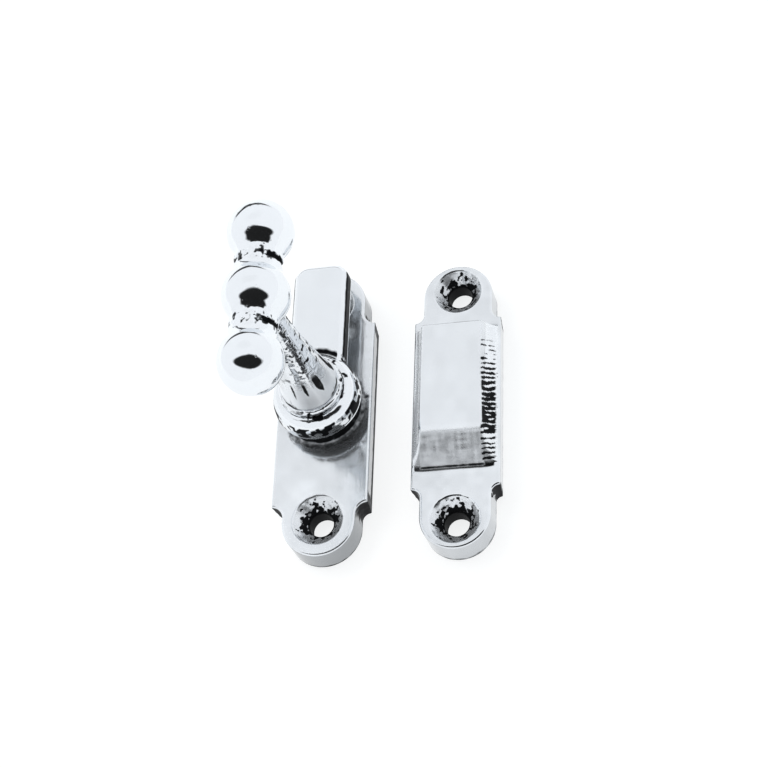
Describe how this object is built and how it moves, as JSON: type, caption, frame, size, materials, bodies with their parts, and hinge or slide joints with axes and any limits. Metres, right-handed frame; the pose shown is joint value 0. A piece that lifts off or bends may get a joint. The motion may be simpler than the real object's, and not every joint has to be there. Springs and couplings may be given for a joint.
{
  "type": "casement wedge fastener",
  "caption": "Two-part casement window fastener: a turning ball-ended T handle with a flat tongue on a backplate, and a separate wedge keeper plate.",
  "frame": {"origin": "on the handle's spindle axis, in the back plane of the turn plate, midway between its two screw holes", "axes": "+X from the turn plate towards the keeper, +Y along the plates, the way the tongue points at rest, +Z out of the window frame"},
  "size_m": [0.0407, 0.0564, 0.0511],
  "materials": {
    "polished_chrome": "hand-polished and chrome plated casting, bright, with small casting pits at the necks and fine polishing lines",
    "bright_steel": "turned bright steel",
    "spring_steel": "hardened spring steel, dark grey"
  },
  "bodies": {
    "turn_plate": {"turn_backplate": "polished_chrome"},
    "handle": {"tongue_cam": "polished_chrome", "stem_collar": "polished_chrome", "handle_stem": "polished_chrome", "ball_bar": "polished_chrome", "spindle": "bright_steel", "back_washer": "bright_steel", "spring_washer": "spring_steel"},
    "keeper": {"keeper_plate": "polished_chrome"}
  },
  "joints": [
    {"name": "handle_turn", "type": "hinge", "parent": "turn_plate", "child": "handle", "pos_m": [0, 0, 0], "axis": [0, 0, 1], "range_deg": [-90, 90]},
    {"name": "keeper_gap", "type": "slide", "parent": "turn_plate", "child": "keeper", "axis": [1, 0, 0], "range_m": [-0.005, 0.03]}
  ]
}
